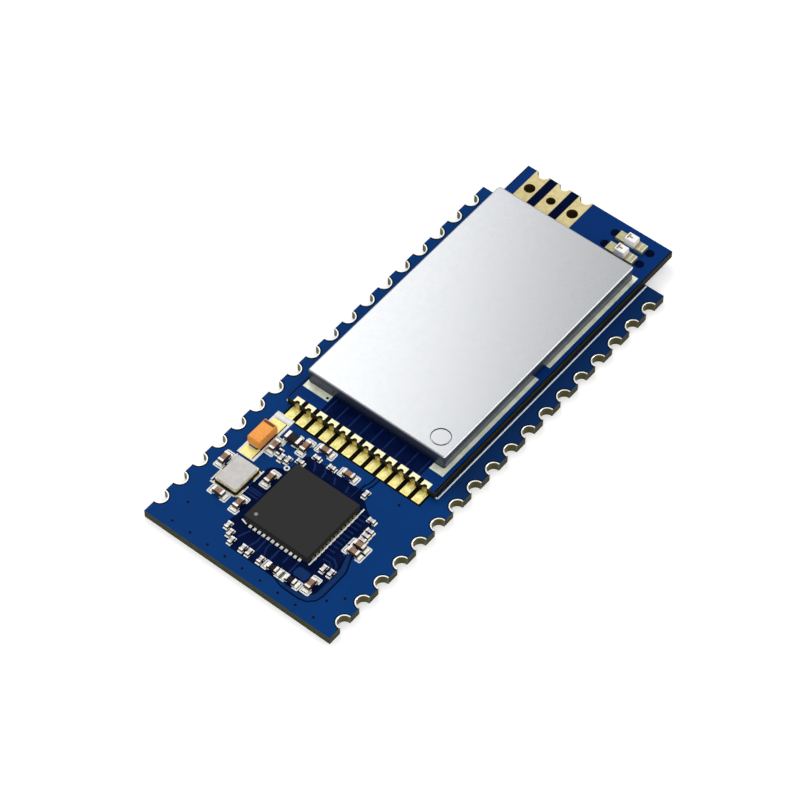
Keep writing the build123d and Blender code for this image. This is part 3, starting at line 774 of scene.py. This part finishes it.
def makeCopperPlan(plan):
    top = carrierTop
    drawPatches("carrier_clearing", [plan["clearing"]], plan["clearRise"], top, clearMask,
                corner=plan["clearCorner"])
    drawPatches("carrier_gap", [plan["gap"]], plan["gapRise"], top, gapMask)
    drawPatches("carrier_islands", plan["islands"], plan["islandRise"], top, bandMask,
                corner=plan["islandCorner"])
    lines = plan["nearTracks"] + plan["farTracks"] + plan["sideTracks"]
    for index in range(plan["rowCount"]):
        y = plan["rowY"] - index * plan["rowPitch"]
        lines.append([(plan["rowX"][0], y), (plan["rowX"][1], y)])
    drawLines("carrier_tracks", lines, plan["trackWidth"], plan["trackRise"], top, trackMask,
              corner=plan["trackCorner"])
    drawLines("wide_track", [plan["band"]], plan["bandWidth"], plan["trackRise"], top, bandMask,
              corner=plan["bandCorner"])
    drawLines("wide_track_edges", [plan["bandOuter"], plan["bandInner"]] + plan["pair"],
              plan["darkWidth"], plan["darkRise"], top, nightMask,
              corner=plan["bandCorner"])
    size = (plan["viaRadius"], plan["viaRadius"], plan["darkRise"] + sunk)
    spots = [((x, y, top - sunk), 0, size) for x, y in plan["vias"]]
    scatterShapes("carrier_vias", disc, spots, gapMask)


# The carrier as the photograph shows it: each half hole is drilled a little inside the edge,
# and its plating turns out over both faces as a rim. Bore 0.65 and rim 0.77 mm, smaller than
# in the solids, so these pieces replace the board and both rows.
halfHole = {
    "bore": 0.65, "wall": 0.05, "rim": 0.12, "inside": 0.065, "rise": 0.045, "round": 0.045,
    "flange": 0.03, "proud": 0.004, "steps": 16,
    "clearance": 0.055, "clearWidth": 0.1, "clearRise": 0.012,
}


def holeArc(values, radius):
    # Points of one half hole from the edge, inwards and back to the edge, for the right side
    reach = math.pi / 2 + math.asin(values["inside"] / radius)
    angles = [reach * (2 * step / values["steps"] - 1) for step in range(values["steps"] + 1)]
    return [(-values["inside"] - radius * math.cos(a), radius * math.sin(a)) for a in angles]


def makeLiningShape(values, thick):
    bore, rim = values["bore"], values["bore"] + values["rim"]
    wall, top = bore + values["wall"], thick + values["rise"]
    soft, flange, foot = values["round"], values["flange"], -values["proud"]
    section = [
        (bore, foot), (rim, foot), (rim, flange), (wall, flange), (wall, thick - flange),
        (rim, thick - flange), (rim, top - soft / 2), (rim - soft, top), (bore + soft, top),
        (bore, top - soft / 2),
    ]
    points = []
    for radius, height in section:
        points += [(x, y, height) for x, y in holeArc(values, radius)]
    stations = values["steps"] + 1
    count = len(section)
    faces = []
    for i in range(count):
        j = (i + 1) % count
        for step in range(values["steps"]):
            faces.append((i * stations + step, i * stations + step + 1,
                          j * stations + step + 1, j * stations + step))
    faces.append(tuple(i * stations for i in range(count)))
    faces.append(tuple(i * stations + stations - 1 for i in reversed(range(count))))
    return meshObject("lining", points, faces=faces)


def makeCarrier(values):
    low, high = inMm(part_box("carrier_board"))
    places = sorted((a[1] + b[1]) / 2 for a, b in solidBoxes("carrier_half_holes_right"))
    arc = holeArc(values, values["bore"] + values["wall"])
    outline = [(low[0], low[1]), (high[0], low[1])]
    for place in places:
        outline += [(high[0] + x, place + y) for x, y in arc]
    outline += [(high[0], high[1]), (low[0], high[1])]
    for place in reversed(places):
        outline += [(low[0] - x, place + y) for x, y in reversed(arc)]
    plate = growPiece(seedLines("carrier_plate", [outline], closed=True), patchTree, {
        "Thick": (high[2] - low[2]) * mm, "Lift": low[2] * mm, "Corner": 0.0005 * mm,
        "Finish": blueMask,
    })
    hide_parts("carrier_board")
    lining = makeLiningShape(values, high[2])
    for name, edge, turn in (("left", low[0], math.pi), ("right", high[0], 0)):
        spots = [((edge, place, 0), turn, (1, 1, 1)) for place in places]
        row = scatterShapes("hole_linings_" + name, lining, spots, castellationTin)
        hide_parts("carrier_half_holes_" + name)
    bpy.data.objects.remove(lining)
    ring = holeArc(values, values["bore"] + values["rim"] + values["clearance"])
    lines = [[(high[0] + x, place + y) for x, y in ring] for place in places]
    lines += [[(low[0] - x, place + y) for x, y in ring] for place in places]
    drawLines("half_hole_clearings", lines, values["clearWidth"], values["clearRise"],
              carrierTop, nightMask, corner=0.001)


# White ink on the carrier: brackets round the parts, and the frames of the larger ones
inkPlan = {
    "rise": 0.05, "bracketRise": 0.03, "radioRise": 0.02, "line": 0.14,
    "gapRise": 0.022, "gapWidth": 0.1,
    "bracket": {"halfWidth": 0.42, "halfLength": 0.98, "armStart": 0.45},
    "shortest": 0.8,  # smaller parts have no bracket, mm
    "bead": [[(-5.0, -9.1), (-4.6, -9.1), (-4.6, -10.35), (-5.0, -10.35)]],
    # the tantalum capacitor's frame: lines, width and rise
    "frame": {
        "sides": ([[(x, -13.8), (x, -8.2)] for x in (-8.175, -6.525)], 0.25, 0.03),
        "far": ([[(-8.3, -8.55), (-6.4, -8.55)]], 0.7, 0.035),
        "near": ([[(-8.3, -13.72), (-6.4, -13.72)]], 0.16, 0.035),
    },
    "frameGap": [[(-8.0, -8.95), (-6.72, -8.95), (-6.72, -13.5), (-8.0, -13.5), (-8.0, -8.95)]],
    "crystal": [
        [(-5.03, -14.0), (-5.03, -15.4)], [(-5.03, -16.1), (-5.03, -17.5)],
        [(-8.0, -17.65), (-5.3, -17.65)], [(-8.02, -14.0), (-8.02, -15.4)],
        [(-8.02, -16.1), (-8.02, -17.5)],
    ],
    "chip": [[(4.27, -19.05), (4.27, -11.65)], [(-3.2, -19.0), (-2.6, -19.15)]],
    "ringDot": {
        "place": (-3.7, -12.5), "radius": 0.28, "hole": 0.13, "rise": 0.035, "holeRise": 0.045,
    },
    "radioSide": [(8.46, -6.81), (8.46, 23.5)], "radioTick": [(8.46, -6.81), (8.15, -6.81)],
}


def bracketLines(bracket, boxes, shortest):
    lines = []
    for low, high in boxes:
        middle = ((low[0] + high[0]) / 2, (low[1] + high[1]) / 2)
        sizeX, sizeY = high[0] - low[0], high[1] - low[1]
        if max(sizeX, sizeY) < shortest:
            continue
        for end in (-1, 1):
            near, far = end * bracket["armStart"], end * bracket["halfLength"]
            side = bracket["halfWidth"]
            arms = [(near, -side), (far, -side), (far, side), (near, side)]
            if sizeY > sizeX:
                arms = [(across, along) for along, across in arms]
            lines.append([(middle[0] + x, middle[1] + y) for x, y in arms])
    return lines


def makeInk(plan):
    top, slotName = carrierTop, "white_laminate"
    boxes = solidBoxes("capacitor_bodies") + solidBoxes("resistor_bodies")
    lines = bracketLines(plan["bracket"], boxes, plan["shortest"])
    drawLines("ink_brackets", lines, plan["line"], plan["bracketRise"], top, whiteInk)
    lines = plan["bead"] + plan["crystal"] + plan["chip"]
    drawLines("ink_part_outlines", lines, plan["line"], plan["rise"], top, whiteInk)
    for part, (lines, width, rise) in plan["frame"].items():
        drawLines("ink_frame_" + part, lines, width, rise, top, whiteInk)
    drawLines("frame_gap_line", plan["frameGap"], plan["gapWidth"], plan["gapRise"], top, clearMask)
    radio = [plan["radioSide"], plan["radioTick"]]
    radio += [[(-x, y) for x, y in line] for line in radio]
    drawLines("ink_radio_outline", radio, plan["line"], plan["radioRise"], top, whiteInk)
    dot = plan["ringDot"]
    x, y = dot["place"]
    ring = [((x, y, top - sunk), 0, (dot["radius"], dot["radius"], dot["rise"] + sunk))]
    scatterShapes("ink_first_pin_ring", disc, ring, whiteInk)
    hole = [((x, y, top - sunk), 0, (dot["hole"], dot["hole"], dot["holeRise"] + sunk))]
    scatterShapes("first_pin_ring_middle", disc, hole, clearMask)


# The radio board's own face: laminate without copper in front of the can, dark strips
# between its pads, and a dark disc low in each antenna hole
radioPlan = {
    "rise": 0.008, "front": [(-5.05, -6.3), (6.15, -6.3), (6.15, -4.2), (-5.05, -4.2)],
    "frontLines": (-4.65, -3.35, -2.0, -0.72, 0.55, 1.85, 3.2, 4.5, 5.85),
    "frontLineY": (-6.25, -4.25), "frontLineWidth": 0.14, "lineRise": 0.012,
    "stripY": (-6.98, -6.36), "margin": 0.03,
    "antennaStrips": [(-5.62, -4.8), (-3.15, -2.35)], "antennaStripY": (23.4, 27.66),
    "lampSpots": [(2.9, 26.2), (6.8, 26.2), (2.9, 24.6), (6.8, 24.6)],
    "lampSpotRadius": 0.45, "lampSpotRise": 0.01,
    "westHole": (-5.41, -4.92), "westHoleRadius": 0.13,
    "westHoleSunk": 0.03, "westHoleHigh": 0.035, "sameHole": 0.2,
    "discRise": 0.05, "discThick": 0.04, "rim": 0.1, "rimEnd": 0.1, "rimRise": 0.006,
}


def rectangle(xLow, xHigh, yLow, yHigh):
    return [(xLow, yLow), (xHigh, yLow), (xHigh, yHigh), (xLow, yHigh)]


def makeRadioFace(plan):
    top = radioTop
    strips = [rectangle(low, high, *plan["antennaStripY"]) for low, high in plan["antennaStrips"]]
    drawPatches("radio_front_clearing", [plan["front"]], plan["rise"], top, clearMask)
    drawPatches("antenna_gaps", strips, plan["rise"], top, nightMask)
    lines = [[(x, plan["frontLineY"][0]), (x, plan["frontLineY"][1])] for x in plan["frontLines"]]
    drawLines("radio_front_tracks", lines, plan["frontLineWidth"], plan["lineRise"], top,
              trackMask)
    pads = solidBoxes("radio_half_holes")
    gaps = []
    for (_, before), (after, _) in zip(pads, pads[1:]):
        left, right = before[0] + plan["margin"], after[0] - plan["margin"]
        gaps.append(rectangle(left, right, *plan["stripY"]))
    drawPatches("radio_pad_gaps", gaps, plan["rise"], top, gapMask)
    size = (plan["lampSpotRadius"], plan["lampSpotRadius"], plan["lampSpotRise"] + sunk)
    spots = [((x, y, top - sunk), 0, size) for x, y in plan["lampSpots"]]
    scatterShapes("lamp_end_clearings", disc, spots, nightMask)
    radius = plan["westHoleRadius"]
    x, y = plan["westHole"]
    landTop = inMm(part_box("shield_lands"))[1][2]
    hole = [((x, y, landTop - plan["westHoleSunk"]), 0, (radius, radius, plan["westHoleHigh"]))]
    scatterShapes("west_pad_via", disc, hole, gapMask)
    holeDiscs = []
    foot = inMm(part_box("radio_board"))[0][2] + plan["discRise"]
    for low, high in solidBoxes("antenna_pads"):
        x = (low[0] + high[0]) / 2
        for mount in frame["record"]["mounts"]:
            if mount["kind"] == "bore" and abs(mount["pos_m"][0] / mm - x) < plan["sameHole"]:
                radius = mount["dims"]["r_mm"]
                y = mount["pos_m"][1] / mm
                holeDiscs.append(((x, y, foot), 0, (radius, radius, plan["discThick"])))
    scatterShapes("antenna_hole_films", disc, holeDiscs, holeDark)
    low, high = inMm(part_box("radio_board"))
    inset, near, far = plan["rim"] / 2, low[1] + plan["rimEnd"], high[1] - plan["rimEnd"]
    sideLines = [[(x, near), (x, far)] for x in (low[0] + inset, high[0] - inset)]
    drawLines("radio_edge_lines", sideLines, plan["rim"], plan["rimRise"], top, gapMask)


# Solder: a hollow wedge at every end cap and terminal, and a low mound on every radio land
solderPlan = {
    "capReach": 0.8, "capRise": 0.55, "capMost": 0.24, "capLeast": 0.08, "capWide": 0.94,
    "sunk": 0.005, "pastBody": 0.05,
    "toeReach": 0.2, "toeRise": 0.17, "toeWidth": 0.24,
    "mound": {"y": -7.66, "halfWidth": 0.36, "halfLength": 0.56, "rise": 0.1},
}


def furthestPast(low, high, land, x, y):
    # The side past which a land reaches furthest: reach, turn, place and width of that side
    return max([
        (land[1][0] - high[0], 0, high[0], y, high[1] - low[1]),
        (low[0] - land[0][0], math.pi, low[0], y, high[1] - low[1]),
        (land[1][1] - high[1], math.pi / 2, x, high[1], high[0] - low[0]),
        (low[1] - land[0][1], -math.pi / 2, x, low[1], high[0] - low[0]),
    ])


def wedgesAt(caps, lands, plan):
    # A wedge on each land that reaches out past a cap, from the cap's face outwards
    spots = []
    for low, high in caps:
        x, y = (low[0] + high[0]) / 2, (low[1] + high[1]) / 2
        for land in lands:
            if not (land[0][0] < x < land[1][0] and land[0][1] < y < land[1][1]):
                continue
            reach, turn, faceX, faceY, wide = furthestPast(low, high, land, x, y)
            if reach > plan["capLeast"]:
                size = (min(reach * plan["capReach"], plan["capMost"]), wide * plan["capWide"],
                        (high[2] - low[2]) * plan["capRise"])
                spots.append(((faceX, faceY, land[1][2] - plan["sunk"]), turn, size))
    return spots


def makeSolder(plan):
    lands = solidBoxes("chip_lands")
    caps = []
    for name in ("capacitor", "small_capacitor", "resistor", "ferrite_bead"):
        caps += solidBoxes(name + "_end_caps")
    spots = wedgesAt(caps, lands, plan)
    scatterShapes("end_cap_solder", wedge, spots, tinnedLands)
    print("solder wedges", len(spots), "for", len(caps), "end caps")
    body = inMm(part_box("microcontroller_body"))
    size = (plan["toeReach"], plan["toeWidth"], plan["toeRise"])
    plainToes, shadedToes = [], []
    for low, high in solidBoxes("microcontroller_lands"):
        x, y = (low[0] + high[0]) / 2, (low[1] + high[1]) / 2
        reach, turn, faceX, faceY, _ = furthestPast(*body, (low, high), x, y)
        if reach > plan["pastBody"]:
            row = plainToes if turn else shadedToes
            row.append(((faceX, faceY, high[2] - plan["sunk"]), turn, size))
    scatterShapes("terminal_solder", wedge, plainToes, tinnedLands)
    # the toes right of the chip get solder with a painted shade
    scatterShapes("terminal_solder_right", wedge, shadedToes, shadedSolder)
    mound = plan["mound"]
    spots = []
    for low, high in solidBoxes("radio_lands"):
        x = (low[0] + high[0]) / 2
        size = (mound["halfWidth"], mound["halfLength"], mound["rise"])
        spots.append(((x, mound["y"], high[2] - plan["sunk"]), 0, size))
    scatterShapes("radio_land_solder", dome, spots, landGold)


# Small marks and painted highlights: on the lamps, the microcontroller and the tantalum capacitor
markPlan = {
    "sunk": 0.01, "lampRise": 0.012, "tBar": (0.18, 0.6), "tStem": (0.34, 0.18), "markFrom": 0.42,
    # the floor of the ring pressed into the can's top lies in its own shade
    "ring": {
        "fromRight": 1.66, "fromNear": 1.6, "radius": 0.96, "wide": 0.13, "deep": 0.079,
        "rise": 0.015, "steps": 48,
    },
    "chipDot": {"place": (-2.2, -18.3), "radius": 0.18, "sunk": 0.038, "high": 0.046},
    "bandSide": 0.12, "bandEnd": 0.15, "bandWide": 0.27, "bandRise": 0.008,
    "stripe": (0.06, 0.18), "highlight": (0.4, 0.48), "highlightEnd": (0.1, 0.01), "stripeInset": 0.03,
}


def boxSpot(xLow, xHigh, yLow, yHigh, zLow, zHigh):
    place = ((xLow + xHigh) / 2, (yLow + yHigh) / 2, zLow)
    return (place, 0, (xHigh - xLow, yHigh - yLow, zHigh - zLow))


def makeMarks(plan):
    tMarks, stripes, paintedHighlights = [], [], []
    for low, high in solidBoxes("lamp_lenses"):
        x, y, top = (low[0] + high[0]) / 2, (low[1] + high[1]) / 2, high[2]
        foot, rise = top - plan["sunk"], top + plan["lampRise"]
        barWide, barLong = plan["tBar"]
        stemLong, stemWide = plan["tStem"]
        left = x - plan["markFrom"]
        tMarks.append(boxSpot(left, left + barWide, y - barLong / 2, y + barLong / 2, foot, rise))
        tMarks.append(boxSpot(left + barWide, left + barWide + stemLong,
                              y - stemWide / 2, y + stemWide / 2, foot, rise))
    scatterShapes("lamp_marks", block, tMarks, lampInk)
    lensLeft = solidBoxes("lamp_lenses")[0][0][0]
    for low, high in solidBoxes("lamp_terminals"):
        if low[0] < lensLeft:  # only the right terminals are striped
            continue
        near, far = low[1] + plan["stripeInset"], high[1] - plan["stripeInset"]
        foot, rise = high[2] - plan["sunk"], high[2] + plan["lampRise"]
        first, last = plan["stripe"]
        stripes.append(boxSpot(low[0] + first, low[0] + last, near, far, foot, rise))
        # pale blocks on the right terminals are painted highlights
        first, last = plan["highlight"]
        paintedHighlights.append(boxSpot(low[0] + first, low[0] + last, near, far, foot, rise))
        first, last = plan["highlightEnd"]
        paintedHighlights.append(boxSpot(high[0] - first, high[0] - last, near, far, foot, rise))
    scatterShapes("lamp_terminal_stripes", block, stripes, lampInk)
    scatterShapes("lamp_terminal_highlights", block, paintedHighlights, whiteLaminateAndHighlight)
    dot = plan["chipDot"]
    x, y = dot["place"]
    top = inMm(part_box("microcontroller_body"))[1][2]
    spots = [((x, y, top - dot["sunk"]), 0, (dot["radius"], dot["radius"], dot["high"]))]
    scatterShapes("first_pin_dot", disc, spots, greyInk)
    low, high = inMm(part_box("tantalum_body"))
    side, far = plan["bandSide"], high[1] - plan["bandEnd"]
    band = [boxSpot(low[0] + side, high[0] - side, far - plan["bandWide"], far,
                    high[2] - plan["sunk"], high[2] + plan["bandRise"])]
    scatterShapes("polarity_band", block, band, bandBrown)
    ring = plan["ring"]
    low, high = inMm(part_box("shield_can"))
    x, y = high[0] - ring["fromRight"], low[1] + ring["fromNear"]
    turns = [2 * math.pi * step / ring["steps"] for step in range(ring["steps"] + 1)]
    circle = [(x + ring["radius"] * math.cos(a), y + ring["radius"] * math.sin(a)) for a in turns]
    drawLines("pressed_ring_floor", [circle], ring["wide"], ring["rise"], high[2] - ring["deep"],
              ringFloorShade, corner=0.001)


makeCarrier(halfHole)
print("carrier made")
makeCopperPlan(copperPlan)
print("copper plan drawn")
makeInk(inkPlan)
print("ink drawn")
makeRadioFace(radioPlan)
print("radio board's face drawn")
makeSolder(solderPlan)
makeMarks(markPlan)
print("solder and marks made")
for shape in (wedge, disc, dome, block):
    bpy.data.objects.remove(shape)
